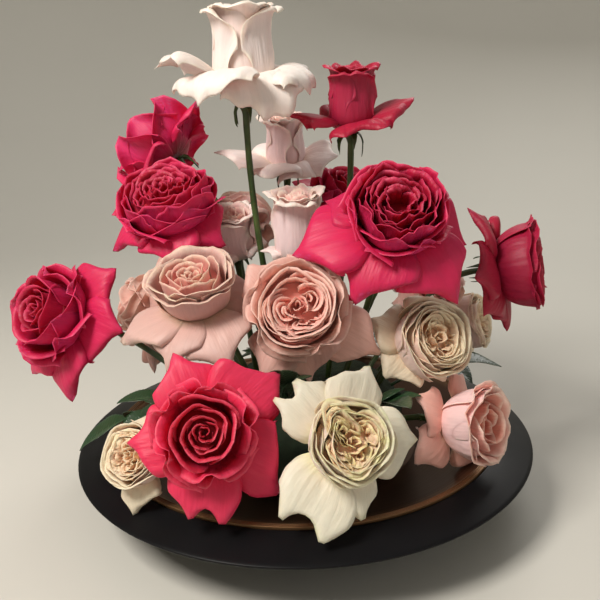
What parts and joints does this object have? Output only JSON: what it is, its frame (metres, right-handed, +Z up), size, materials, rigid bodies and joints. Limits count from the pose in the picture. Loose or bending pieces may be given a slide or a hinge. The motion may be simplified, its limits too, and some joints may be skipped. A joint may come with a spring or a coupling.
{
  "type": "rose arrangement in bowl",
  "caption": "Garden roses in hot pink, blush and cream on tall and short stems, set in foam in a bronze dish inside a low black bowl with a wide rim.",
  "frame": {"origin": "centre of the flat underside of the bowl's foot", "axes": "+Z up, -Y towards the front of the arrangement as pictured, +X to the right as seen from the front"},
  "size_m": [0.4651, 0.4, 0.4161],
  "materials": {
    "pink_petals": "soft velvety hot pink rose petal",
    "blush_petals": "soft blush pink rose petal with cream edges",
    "cream_petals": "soft cream rose petal tinged with green and pink",
    "stems": "fresh green rose stem and sepals",
    "leaves": "dark glossy rose leaf",
    "foam": "wet dark green flower foam",
    "dish": "dark brushed bronze",
    "bowl": "satin black"
  },
  "bodies": {
    "root": {"bronze_dish": "dish", "flower_foam": "foam", "leaf_sprig_back_left": "leaves", "leaf_sprig_back_right": "leaves", "leaf_sprig_front": "leaves", "leaf_sprig_front_left": "leaves", "leaf_sprig_front_right": "leaves", "leaf_sprig_left": "leaves", "leaf_sprig_right": "leaves", "rose_blush_back": "blush_petals", "rose_blush_back_high": "blush_petals", "rose_blush_back_right": "blush_petals", "rose_blush_bud_centre": "blush_petals", "rose_blush_bud_left": "blush_petals", "rose_blush_centre": "blush_petals", "rose_blush_left": "blush_petals", "rose_blush_right": "blush_petals", "rose_blush_top": "blush_petals", "rose_cream_back_left": "cream_petals", "rose_cream_far_right": "cream_petals", "rose_cream_front": "cream_petals", "rose_cream_right": "cream_petals", "rose_cream_small": "cream_petals", "rose_peach_left_inner": "blush_petals", "rose_peach_right_inner": "blush_petals", "rose_pink_back_left": "pink_petals", "rose_pink_back_low": "pink_petals", "rose_pink_back_right": "pink_petals", "rose_pink_far_left": "pink_petals", "rose_pink_far_right": "pink_petals", "rose_pink_front_left": "pink_petals", "rose_pink_top": "pink_petals", "rose_pink_upper_left": "pink_petals", "rose_pink_upper_right": "pink_petals", "stem_blush_back": "stems", "stem_blush_back_high": "stems", "stem_blush_back_right": "stems", "stem_blush_bud_centre": "stems", "stem_blush_bud_left": "stems", "stem_blush_centre": "stems", "stem_blush_left": "stems", "stem_blush_right": "stems", "stem_blush_top": "stems", "stem_cream_back_left": "stems", "stem_cream_far_right": "stems", "stem_cream_front": "stems", "stem_cream_right": "stems", "stem_cream_small": "stems", "stem_peach_left_inner": "stems", "stem_peach_right_inner": "stems", "stem_pink_back_left": "stems", "stem_pink_back_low": "stems", "stem_pink_back_right": "stems", "stem_pink_far_left": "stems", "stem_pink_far_right": "stems", "stem_pink_front_left": "stems", "stem_pink_top": "stems", "stem_pink_upper_left": "stems", "stem_pink_upper_right": "stems", "wide_rim_bowl": "bowl"}
  },
  "joints": []
}
